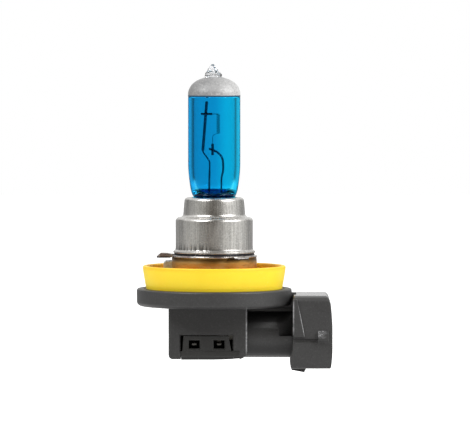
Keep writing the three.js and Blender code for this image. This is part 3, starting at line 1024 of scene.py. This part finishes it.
def leg_sleeve(name, length, r, bore):
    """A rolled sleeve, squeezed flat in the middle where it is clamped."""

    def squeeze(rr, z, t):
        k = 1 - 0.18 * math.exp(-(((z - length / 2) / (length * 0.22)) ** 2))
        return rr * (1 + (k - 1) * abs(math.sin(t)) + (1 - k) * 0.4 * abs(math.cos(t))), z, 0, 0

    profile = rounded(
        [(bore, 0, 0.02), (r, 0, 0.05), (r, length, 0.05), (bore, length, 0.02)],
        3,
        closed=True,
    )
    dense = []
    for a, b in zip(profile, profile[1:] + profile[:1]):
        count = max(1, int(abs(b[1] - a[1]) / 0.25))
        dense += [
            (a[0] + (b[0] - a[0]) * k / count, a[1] + (b[1] - a[1]) * k / count)
            for k in range(count)
        ]
    return lathe(name, dense, 28, ring=True, wobble=squeeze, sharp=50)


upper = leg_sleeve("upper_sleeve", 2.54, 0.235, 0.13)
upper.data.transform(
    Matrix.Translation(Vector((-2.9, LEG_Y, 31.65)) * MM)
    @ Matrix.Rotation(math.pi / 2, 4, "Y")
)
place(upper, "upper_leg_sleeve", M_MOLY)
lower = leg_sleeve("lower_sleeve", 2.5, 0.29, 0.13)
lower.data.transform(Matrix.Translation(Vector((-0.34, LEG_Y, 22.6)) * MM))
place(lower, "lower_leg_sleeve", M_MOLY)

# ------------------------------------------------------------------ sheet-metal cap
can = lathe(
    "stepped_can",
    rounded(
        [
            (5.05, 13.32, 0.16),
            (6.50, 13.30, 0.85),
            (6.68, 11.6, 3.0),
            (6.88, 8.98, 0.85),
            (8.52, 8.88, 0.92),
            (8.52, 2.20, 0.4),
            (8.58, 1.86, 0.3),
            (8.74, 1.64, 0.2),
            (9.03, 1.48, 0.12),
            (9.03, 1.10, 0.10),
            (7.94, 1.10, 0.25),
            (7.92, 8.40, 0.35),
            (6.35, 8.45, 0.40),
            (6.02, 12.80, 0.30),
            (5.05, 12.80, 0.10),
        ],
        8,
        closed=True,
    ),
    224,
    ring=True,
    sharp=40,
)
place(can, "metal_can", M_CAN)
# painted shade: the can's inside faces take a dark steel, standing in for the shade inside it
can.data.materials.append(M_SHADE_STEEL)
for face in can.data.polygons:
    c = face.center / MM
    r = math.hypot(c.x, c.y)
    n = face.normal.x * c.x + face.normal.y * c.y
    if (n < -0.3 * r and r > 5.2) or (c.z < 12.9 and r < 6.0):
        face.material_index = 1

ring_body = lathe(
    "lug_plate",
    rounded(
        [
            (7.6, 0.12, 0.05),
            (9.42, 0.12, 0.12),
            (9.42, 0.58, 0.20),
            (8.84, 0.58, 0.03),
            (8.82, 1.06, 0.03),
            (7.6, 1.06, 0.05),
        ],
        5,
        closed=True,
    ),
    192,
    ring=True,
)
for turn in (180, 60, -60):
    half = 1.75
    # the left lug's end is rolled over; the other two are flatter
    if turn == 180:
        top = [(12.68, 0.30, 0.16), (11.75, 1.06, 0.50), (10.3, 1.02, 2.0), (9.3, 0.80, 0.3)]
    else:
        top = [(12.68, 0.34, 0.14), (11.6, 0.60, 1.0), (10.3, 0.60, 1.0), (9.1, 0.72, 0.3)]
    side = rounded(
        [(8.6, 0.12), (9.5, 0.12, 0.2), (9.75, 0.0, 0.2), (12.7, 0.0, 0.08)]
        + top
        + [(8.6, 0.72)],
        5,
    )
    lug = prism("lug", side, "Y", -half, half, 0.0)
    ends = prism(
        "lug_ends", rect((7.0, 12.72), (-half, half), 0.75, 8), "Z", -0.5, 1.5, 0.0
    )
    boolean(lug, [ends], "INTERSECT")
    lug.data.transform(Matrix.Rotation(math.radians(turn), 4, "Z"))
    boolean(ring_body, [lug], "UNION")
bev = ring_body.modifiers.new("edge", "BEVEL")
bev.width = 0.06 * MM
bev.segments = 2
bev.limit_method = "ANGLE"
bev.angle_limit = math.radians(50)
apply(ring_body)
finish_mesh(ring_body, 35, weighted=True)
place(ring_body, "lug_ring", M_LUG)
# painted shade: the lug plate's inner top faces, in the crevice under the can's foot, take the dark steel
ring_body.data.materials.append(M_SHADE_STEEL)
for f in ring_body.data.polygons:
    fr = math.hypot(f.center.x, f.center.y) / MM
    if fr < 8.9 and (f.normal.z > 0.5 or f.center.z > 0.62 * MM):
        f.material_index = 1

sleeve = lathe(
    "cap_sleeve_skin",
    rounded(
        [
            (8.9, -8.8, 0.1),
            (9.42, -8.8, 0.1),
            (9.40, -0.90, 3.0),
            (9.33, 0.04, 0.04),
            (8.9, 0.04, 0.04),
        ],
        5,
        closed=True,
    ),
    192,
    ring=True,
)
stop = prism(
    "stop",
    [(-11.15, -5.35), (-9.05, -5.35), (-9.05, -0.60), (-10.7, -0.68), (-11.15, -0.95)],
    "Y",
    -1.5,
    1.5,
    0.14,
    3,
)
boolean(sleeve, [stop], "UNION")
finish_mesh(sleeve, 35, weighted=True)
place(sleeve, "cap_sleeve", M_SLEEVE)
sleeve.data.materials.append(M_STOP)
for face in sleeve.data.polygons:
    c = face.center / MM
    if math.hypot(c.x, c.y) > 9.45:
        face.material_index = 1

# ------------------------------------------------------------------ seal
seal = lathe(
    "lip_seal",
    rounded(
        [
            (9.95, -6.9, 0.2),
            (14.98, -6.9, 0.18),
            (15.14, -6.1, 0.6),
            (15.44, -4.4, 6.0),
            (15.73, -2.6, 3.0),
            (15.75, -1.76, 0.32),
            (14.70, -1.76, 0.50),
            (14.62, -2.9, 2.0),
            (14.30, -5.72, 0.45),
            (9.95, -5.72, 0.25),
        ],
        8,
        closed=True,
    ),
    256,
    ring=True,
    sharp=60,
)
place(seal, "seal_ring", M_SEAL)

# ------------------------------------------------------------------ base housing
flange = lathe(
    "flange",
    rounded(
        [
            (0.0, -10.6),
            (17.08, -10.6, 0.95),
            (17.1, -6.8, 0.42),
            (15.5, -6.8, 0.06),
            (15.5, -6.98, 0.0),
            (9.75, -6.98, 0.0),
            (9.75, -9.0, 0.0),
            (8.6, -9.0, 0.0),
            (8.6, -4.0, 0.35),
            (0.0, -4.0),
        ],
        8,
    ),
    224,
)
SHELL_Y = 8.5


def rear(z):
    """x of the shell's back face at height z: its lower part steps back."""
    if z > -19.6:
        return 17.3
    if z > -21.6:
        return 17.3 - 0.55 * (-19.6 - z) / 2.0
    return 16.75


def rim(z):
    """x of the shell's mouth at height z: nearly flat, falling away towards the top."""
    pts = [
        (-24.1, 25.64),
        (-22.8, 25.78),
        (-21.6, 25.9),
        (-20.4, 25.96),
        (-15.0, 25.96),
        (-13.2, 25.87),
        (-11.5, 25.75),
        (-9.75, 25.56),
        (-8.75, 25.27),
        (-8.0, 24.75),
    ]
    for (z0, x0), (z1, x1) in zip(pts, pts[1:]):
        if z <= z1:
            return x0 + (x1 - x0) * max(0.0, (z - z0) / (z1 - z0))
    return 24.75


def shell_ring(x_of, inset, r, dense=10):
    """The shell's section, inset by so many mm, its x given by the height."""
    y0, y1 = -SHELL_Y + inset, SHELL_Y - inset
    z0, z1 = -24.1 + inset, -8.0 - inset
    flat = rounded(
        [(y0, z0, r), (y1, z0, r), (y1, z1, r), (y0, z1, r)], 8, closed=True
    )
    out = []
    for (ya, za), (yb, zb) in zip(flat, flat[1:] + flat[:1]):
        count = dense if math.hypot(yb - ya, zb - za) > 3 else 1
        for k in range(count):
            y = ya + (yb - ya) * k / count
            z = za + (zb - za) * k / count
            out.append((x_of(z), y, z))
    return out


R_OUT, R_IN = 1.6, 0.9
rings = [shell_ring(lambda z: rear(z), 0.42, R_OUT - 0.42)]
for k in range(1, 6):
    t = math.pi / 2 * k / 5
    d = 0.42 * (1 - math.sin(t))
    e = 0.42 * (1 - math.cos(t))
    rings.append(
        shell_ring(lambda z, e=e: rear(z) + e, d, R_OUT - d)
    )
rings.append(shell_ring(lambda z: rim(z) - 3.0, 0.0, R_OUT))
E = 0.30
for k in range(0, 6):
    t = math.pi / 2 * k / 5
    d = E * (1 - math.cos(t))
    e = E * (1 - math.sin(t))
    rings.append(shell_ring(lambda z, e=e: rim(z) - e, d, R_OUT - d))
W = 1.3
for k in range(0, 6):
    t = math.pi / 2 * k / 5
    d = W - 0.25 * (1 - math.sin(t))
    e = 0.25 * (1 - math.cos(t))
    rings.append(
        shell_ring(lambda z, e=e: rim(z) - e, d, R_IN + (W - d) * 0.8)
    )
rings.append(shell_ring(lambda z: 18.3, W, R_IN))
for k in range(1, 5):
    t = math.pi / 2 * k / 4
    d = W + 0.3 * (1 - math.cos(t))
    rings.append(
        shell_ring(lambda z, t=t: 18.3 - 0.3 * math.sin(t), d, R_IN - 0.25 * (1 - math.cos(t)))
    )
shell = loft("shell", rings)

body = prism(
    "body",
    rounded(
        [
            (-10.0, -21.9, 0.95),
            (7.25, -21.9, 1.9),
            (7.25, -10.0),
            (-10.0, -10.0),
        ],
        8,
        closed=True,
    ),
    "Y",
    -8.6,
    8.6,
)
corners = prism(
    "corners", rect((-10.0, 7.25), (-8.6, 8.6), 0.55, 8), "Z", -22.5, -9.5
)
boolean(body, [corners], "INTERSECT")
neck_outline = [
    (5.2 * math.cos(2 * math.pi * k / 96), -16.85 + 5.2 * math.sin(2 * math.pi * k / 96))
    for k in range(96)
]
neck = prism("neck", neck_outline, "X", 5.5, 17.8, 0.0)
ramp = prism(
    "ramp",
    [(16.95, -23.6), (17.0, -24.68), (18.1, -24.90), (19.85, -25.20), (20.6, -23.6)],
    "Y",
    -2.6,
    2.6,
    0.05,
    2,
)
web = block("web", (16.4, 18.1), (-1.2, 1.2), (-10.4, -7.66), 0.12, 2)
saddle = block("saddle", (6.0, 17.6), (-1.3, 1.3), (-13.5, -11.05), 0.2, 2)
rib = block("rib", (6.0, 17.45), (-1.0, 1.0), (-12.0, -10.3), 0.1, 2)
parts = [shell, body, neck, ramp, web, saddle, rib]
for s in (-1, 1):
    y = sorted((s * (SHELL_Y - 0.6), s * (SHELL_Y + 0.46)))
    parts.append(
        prism(
            "gusset",
            [(17.26, -17.15), (19.92, -17.15), (18.25, -8.75), (17.26, -8.75)],
            "Y",
            *y,
            0.24,
            3,
        )
    )
    out = s * (SHELL_Y + 0.88)
    outline = [
        (s * (SHELL_Y - 0.6), -15.55),
        (s * (SHELL_Y + 0.12), -15.6),
        (out, -16.15),
        (out, -18.0),
        (s * (SHELL_Y - 0.6), -18.0),
    ]
    parts.append(prism("nub", outline, "X", 22.75, 25.1, 0.16, 3))
# below a sloped step, the shell's sides are set in
for s in (-1, 1):
    step = prism(
        "step",
        [
            (s * 8.52, -17.42),
            (s * 8.26, -18.4),
            (s * 7.92, -22.6),
            (s * 7.70, -25.0),
            (s * 9.6, -25.0),
            (s * 9.6, -17.42),
        ],
        "X",
        15.5,
        27.0,
    )
    groove = prism(
        "groove",
        [
            (s * 8.6, -17.40),
            (s * 7.98, -17.62),
            (s * 7.92, -18.25),
            (s * 8.27, -18.72),
            (s * 9.6, -18.72),
            (s * 9.6, -17.40),
        ],
        "X",
        15.5,
        22.72,
    )
    boolean(shell, [step, groove], "DIFFERENCE")
housing = boolean(flange, parts, "UNION")

cuts = [
    block("room", (-7.6, 5.8), (-7.0, 4.6), (-20.6, -12.4)),
    # hollows in the neck's upper half, beside the shell
    prism("hollow", [(14.2, -5.6), (17.35, -5.6), (17.35, -3.4), (14.2, -4.95)], "Z", -17.05, -10.9),
    prism("hollow", [(14.2, 5.6), (17.35, 5.6), (17.35, 3.4), (14.2, 4.95)], "Z", -17.05, -10.9),
    # the front window, with a chamfered frame
    block("window", (-7.42, 4.12), (-9.5, -6.8), (-20.2, -16.66)),
    prism(
        "window_frame",
        [(-7.62, -16.52), (4.32, -16.52), (4.32, -20.3), (-7.62, -20.3)],
        "Y",
        -9.6,
        -8.42,
    ),
    prism(
        "cover_seat",
        [(-7.33, -20.08), (5.58, -20.08), (5.58, -23.0), (-7.33, -23.0)],
        "Y",
        -9.5,
        2.2,
    ),
    prism("hub_slot", rect((-2.7, 2.8), (-0.8, 0.8), 0.5, 6), "Z", -12.9, -3.0),
]
for y in (-2.9, 2.9):
    cuts.append(
        block("blade_slot", (5.0, 18.4), (y - 0.6, y + 0.6), (-18.25, -15.05))
    )
boolean(housing, cuts, "DIFFERENCE")
bev = housing.modifiers.new("edge", "BEVEL")
bev.width = 0.10 * MM
bev.segments = 2
bev.limit_method = "ANGLE"
bev.angle_limit = math.radians(60)
bev.use_clamp_overlap = True
bev.harden_normals = False
apply(housing)
housing.name = "moulded_base"
finish_mesh(housing, 38, weighted=True)
place(housing, "base_housing", M_BASE)
# painted shade: the latch ramp's lowest faces take the darker cover plastic
housing.data.materials.append(M_COVER)
for f in housing.data.polygons:
    fx, fy, fz = (c / MM for c in f.center)
    if 16.9 < fx < 20.7 and abs(fy) < 2.7 and fz < -24.0:
        f.material_index = len(housing.data.materials) - 1

# ------------------------------------------------------------------ terminal cover
cover = prism(
    "insert_plate",
    [(-7.02, -20.9), (3.80, -20.9), (3.74, -19.9), (3.12, -16.80), (-6.72, -16.80)],
    "Y",
    -8.5,
    -7.3,
    0.12,
    2,
)
foot = prism(
    "insert_foot",
    [(-8.70, -20.12), (1.95, -20.12), (1.95, -21.95), (-8.25, -22.05), (-8.70, -21.3)],
    "X",
    -7.25,
    5.62,
    0.14,
    2,
)
boolean(cover, [foot], "UNION")
# the foot's underside rises to meet the body's rounded corner
rise = prism(
    "rise",
    [(-0.5, -22.6), (8.0, -22.6), (8.0, -21.4), (5.6, -21.74), (3.2, -21.93), (-0.5, -22.07)],
    "Y",
    -10.0,
    4.0,
)
boolean(cover, [rise], "DIFFERENCE")
probe = []
for x in (-4.35, 1.09):
    probe.append(
        block("probe", (x - 1.2, x + 1.2), (-9.2, -7.0), (-18.68 - 0.92, -18.68 + 0.92))
    )
    probe.append(
        prism(
            "probe_mouth",
            rect((x - 1.4, x + 1.4), (-18.68 - 1.12, -18.68 + 1.12), 0.2, 3),
            "Y",
            -9.2,
            -8.36,
        )
    )
boolean(cover, probe, "DIFFERENCE")
bev = cover.modifiers.new("edge", "BEVEL")
bev.width = 0.05 * MM
bev.segments = 2
bev.limit_method = "ANGLE"
bev.angle_limit = math.radians(60)
apply(cover)
cover.name = "window_insert"
finish_mesh(cover, 38, weighted=True)
place(cover, "terminal_cover", M_COVER)

# ------------------------------------------------------------------ terminals
for side, x, y in (("left", -4.35, 2.9), ("right", 1.09, -2.9)):
    blade = prism(
        f"blade_{side}",
        [
            (x - 0.5, -19.0),
            (x + 0.5, -19.0),
            (x + 0.5, -18.05),
            (23.2, -18.05),
            (24.0, -17.3),
            (24.0, -16.0),
            (23.2, -15.25),
            (x - 0.5, -15.25),
        ],
        "Y",
        y - 0.4,
        y + 0.4,
        0.12,
        3,
    )
    foot = block("tip", (x - 0.5, x + 0.5), (-7.55, y + 0.2), (-18.92, -18.42), 0.1, 2)
    boolean(blade, [foot], "UNION")
    finish_mesh(blade, 35, weighted=True)
    place(blade, f"terminal_{side}", M_TERMINAL)
    # painted shade: the blade tips in the probe holes take a darker copy of the terminal metal
    blade.data.materials.append(M_TIP)
    for face in blade.data.polygons:
        if face.center.y < -0.0062:
            face.material_index = 1

# ------------------------------------------------------------------ CAD nodes that stay, with their own finish
for name, m in (
    ("pinch_foil_left", M_MOLY),
    ("pinch_foil_right", M_MOLY),
    ("outer_lead_left", M_LEAD),
    ("outer_lead_right", M_LEAD),
    ("pinch_clip", M_SPRING),
    ("clip_collar", M_SPRING),
):
    o = nodes[name]
    o.data.materials.clear()
    o.data.materials.append(m)

# ------------------------------------------------------------------ stage, lights and camera
scene.view_settings.view_transform = "Standard"
scene.view_settings.look = "None"

floor_me = bpy.data.meshes.new("floor")
FLOOR_Z, FLOOR_R = -0.046, 1.6
ring_n = 64
floor_me.from_pydata(
    [
        (FLOOR_R * math.cos(2 * math.pi * k / ring_n), FLOOR_R * math.sin(2 * math.pi * k / ring_n), FLOOR_Z)
        for k in range(ring_n)
    ],
    [],
    [tuple(range(ring_n))],
)
floor = link(bpy.data.objects.new("floor", floor_me))
m = Mat("floor_white")
m.join(
    m.mix(m.noise(6.0, 2.0, 0.5), (0.93, 0.93, 0.93), (0.95, 0.95, 0.95)),
    m.p.inputs["Base Color"],
)
m.set(Roughness=0.9, Specular_IOR_Level=0.0)
m.p.inputs["Emission Color"].default_value = (1, 1, 1, 1)
m.p.inputs["Emission Strength"].default_value = 0.5
floor_me.materials.append(m.m)
floor.visible_diffuse = False
floor.visible_glossy = False
floor.visible_transmission = False

world = bpy.data.worlds.new("studio")
scene.world = world
world.use_nodes = True
wn = world.node_tree
wn.nodes.clear()


def wnode(kind, **values):
    n = wn.nodes.new(kind)
    for k, v in values.items():
        setattr(n, k, v)
    return n


def wmap(source, low, high):
    r = wnode("ShaderNodeMapRange", interpolation_type="SMOOTHSTEP")
    r.inputs["From Min"].default_value = low
    r.inputs["From Max"].default_value = high
    wn.links.new(source, r.inputs["Value"])
    return r.outputs["Result"]


def wmix(fac, a, b):
    n = wnode("ShaderNodeMix", data_type="RGBA")
    wn.links.new(fac, n.inputs[0])
    for key, v in ((6, a), (7, b)):
        if isinstance(v, tuple):
            n.inputs[key].default_value = (*v, 1)
        else:
            wn.links.new(v, n.inputs[key])
    return n.outputs[2]


def wproduct(*factors):
    total = factors[0]
    for f in factors[1:]:
        n = wnode("ShaderNodeMath", operation="MULTIPLY")
        wn.links.new(total, n.inputs[0])
        wn.links.new(f, n.inputs[1])
        total = n.outputs[0]
    return total


# The room round the object, by bearing: 0 is the camera's side, 90 the object's right, 180 behind it.
bearings = [
    (-180, (1.0, 1.0, 1.0)),
    (-160, (0.95, 0.95, 0.95)),
    (-146, (0.60, 0.60, 0.60)),
    (-126, (0.12, 0.12, 0.12)),
    (-110, (0.42, 0.42, 0.415)),
    (-90, (0.50, 0.50, 0.49)),
    (-68, (0.54, 0.54, 0.52)),
    (-45, (0.41, 0.405, 0.385)),
    (-28, (0.27, 0.255, 0.235)),
    (-12, (0.19, 0.17, 0.148)),
    (-2, (0.18, 0.16, 0.138)),
    (9, (0.30, 0.28, 0.255)),
    (20, (0.62, 0.61, 0.59)),
    (45, (0.80, 0.80, 0.78)),
    (68, (0.90, 0.90, 0.885)),
    (90, (0.82, 0.82, 0.81)),
    (110, (0.66, 0.66, 0.65)),
    (127, (0.24, 0.24, 0.24)),
    (146, (0.72, 0.72, 0.72)),
    (160, (0.95, 0.95, 0.95)),
    (180, (1.0, 1.0, 1.0)),
]
out = wnode("ShaderNodeOutputWorld")
white = wnode("ShaderNodeBackground")
white.inputs["Color"].default_value = (1, 1, 1, 1)
white.inputs["Strength"].default_value = 1.0
studio = wnode("ShaderNodeBackground")
studio.inputs["Strength"].default_value = 1.0
tc = wnode("ShaderNodeTexCoord")
sep = wnode("ShaderNodeSeparateXYZ")
wn.links.new(tc.outputs["Generated"], sep.inputs[0])
minus = wnode("ShaderNodeMath", operation="MULTIPLY")
wn.links.new(sep.outputs[1], minus.inputs[0])
minus.inputs[1].default_value = -1.0
bearing = wnode("ShaderNodeMath", operation="ARCTAN2")
wn.links.new(sep.outputs[0], bearing.inputs[0])
wn.links.new(minus.outputs[0], bearing.inputs[1])
turn01 = wnode("ShaderNodeMapRange")
turn01.inputs["From Min"].default_value = -math.pi
turn01.inputs["From Max"].default_value = math.pi
wn.links.new(bearing.outputs[0], turn01.inputs["Value"])
ring_ramp = wnode("ShaderNodeValToRGB")
ring_ramp.color_ramp.interpolation = "LINEAR"
while len(ring_ramp.color_ramp.elements) < len(bearings):
    ring_ramp.color_ramp.elements.new(0.5)
for e, (deg, c) in zip(ring_ramp.color_ramp.elements, bearings):
    e.position = (deg + 180) / 360
    e.color = (*c, 1)
wn.links.new(turn01.outputs["Result"], ring_ramp.inputs["Fac"])
SKY, TABLE, UNDER = (1.0, 1.0, 1.0), (1.32, 1.31, 1.30), (0.45, 0.45, 0.45)
OVERHEAD = (0.10, 0.09, 0.075)
lp = wnode("ShaderNodeLightPath")
# what is behind the object shows in gloss less than through the glass
ahead = wmap(sep.outputs[1], 0.30, 0.75)
behind = wmix(
    wproduct(
        ahead,
        lp.outputs["Is Glossy Ray"],
        wmap(lp.outputs["Is Transmission Ray"], 1.0, 0.0),
        wmap(sep.outputs[2], 0.10, 0.02),
    ),
    ring_ramp.outputs["Color"],
    (0.42, 0.42, 0.42),
)
level = wmix(wmap(sep.outputs[2], 0.25, 0.50), behind, SKY)
# the camera's own side stays dark between the two softboxes
gap = wproduct(
    wmap(sep.outputs[0], 1.05, 0.45),
    wmap(sep.outputs[0], -0.65, -0.30),
    wmap(sep.outputs[1], 0.0, -0.35),
    wmap(sep.outputs[2], 0.05, 0.20),
)
level = wmix(gap, level, OVERHEAD)
level = wmix(wmap(sep.outputs[2], -0.12, -0.32), level, TABLE)
level = wmix(wmap(sep.outputs[2], -0.60, -0.92), level, UNDER)
# polished glass mirrors the room only faintly
sheen = wproduct(
    lp.outputs["Is Glossy Ray"],
    lp.outputs["Is Singular Ray"],
    wmap(lp.outputs["Is Transmission Ray"], 1.0, 0.0),
)
level = wmix(sheen, level, (0.03, 0.08, 0.12))
wn.links.new(level, studio.inputs["Color"])
mixer = wnode("ShaderNodeMixShader")
wn.links.new(lp.outputs["Is Camera Ray"], mixer.inputs["Fac"])
wn.links.new(studio.outputs[0], mixer.inputs[1])
wn.links.new(white.outputs[0], mixer.inputs[2])
wn.links.new(mixer.outputs[0], out.inputs["Surface"])


def softbox(name, place_at, aim, size, power, colour=(1, 1, 1)):
    light = bpy.data.lights.new(name, "AREA")
    light.shape = "RECTANGLE"
    light.size, light.size_y = size
    light.energy = power
    light.color = colour
    o = link(bpy.data.objects.new(name, light))
    o.location = place_at
    o.rotation_mode = "QUATERNION"
    o.rotation_quaternion = (Vector(aim) - Vector(place_at)).to_track_quat("-Z", "Y")
    o.visible_camera = False
    return o


softbox("key_right", (0.64, -0.40, 0.52), (0, 0, 0), (0.6, 0.36), 7.2)
softbox("fill_left", (-0.48, -0.48, 0.66), (0, 0, 0), (0.55, 0.4), 6.2)

cam = bpy.data.cameras.new("camera")
cam.sensor_width = 36
cam.lens = 379
cam.clip_start, cam.clip_end = 0.05, 20
camera = link(bpy.data.objects.new("camera", cam))
CAM = Vector((0.00458, -1.09, 0.0543))
AIM = Vector((0.00458, 0.0, 0.0543 - 1.09 * (220 - 11) / 4948))
camera.location = CAM
camera.rotation_mode = "QUATERNION"
camera.rotation_quaternion = (AIM - CAM).to_track_quat("-Z", "Y")
scene.camera = camera

bpy.context.view_layer.update()
